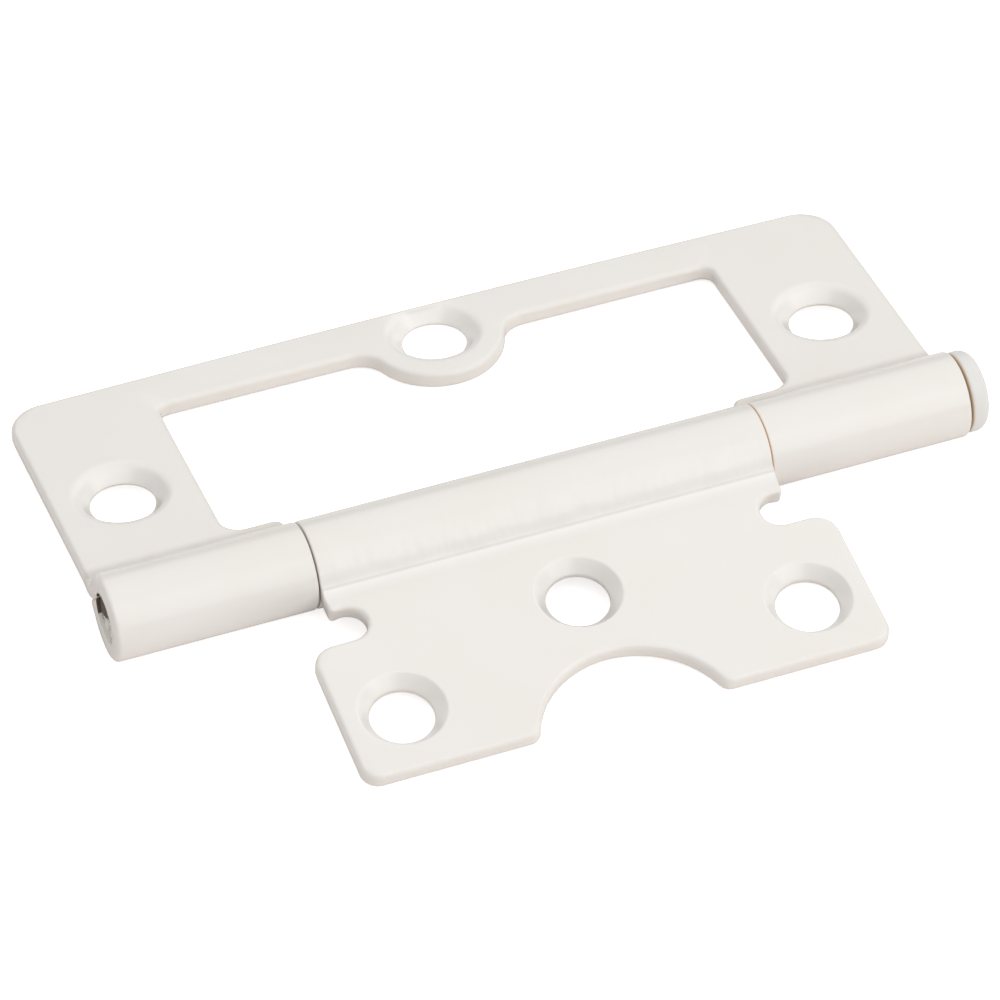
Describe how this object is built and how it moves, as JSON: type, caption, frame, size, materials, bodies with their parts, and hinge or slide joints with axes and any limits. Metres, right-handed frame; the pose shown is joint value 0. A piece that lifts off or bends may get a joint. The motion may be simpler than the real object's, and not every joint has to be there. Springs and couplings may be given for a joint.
{
  "type": "non-mortise hinge",
  "caption": "Painted non-mortise cabinet hinge: a small leaf turns on a loose pin and nests in the window of a frame leaf.",
  "frame": {"origin": "midway between the two end screw holes of the frame leaf, on its flat back face", "axes": "+X along the pin towards its head, +Y from the pin to the frame leaf's back bar, +Z out of the frame leaf's countersunk face"},
  "size_m": [0.0782, 0.0516, 0.0097],
  "materials": {
    "leaf_paint": "glossy off-white paint",
    "pin_paint": "off-white painted head on a bare steel shank"
  },
  "bodies": {
    "frame_leaf": {"frame_leaf": "leaf_paint"},
    "insert_leaf": {"insert_leaf": "leaf_paint"},
    "pin": {"pin": "pin_paint"}
  },
  "joints": [
    {"name": "leaf_swing", "type": "hinge", "parent": "frame_leaf", "child": "insert_leaf", "pos_m": [-0.00035, -0.01435, 0.0008], "axis": [-1, 0, 0], "continuous": true},
    {"name": "pin_slide", "type": "slide", "parent": "frame_leaf", "child": "pin", "axis": [1, 0, 0], "range_m": [0, 0.077]}
  ]
}
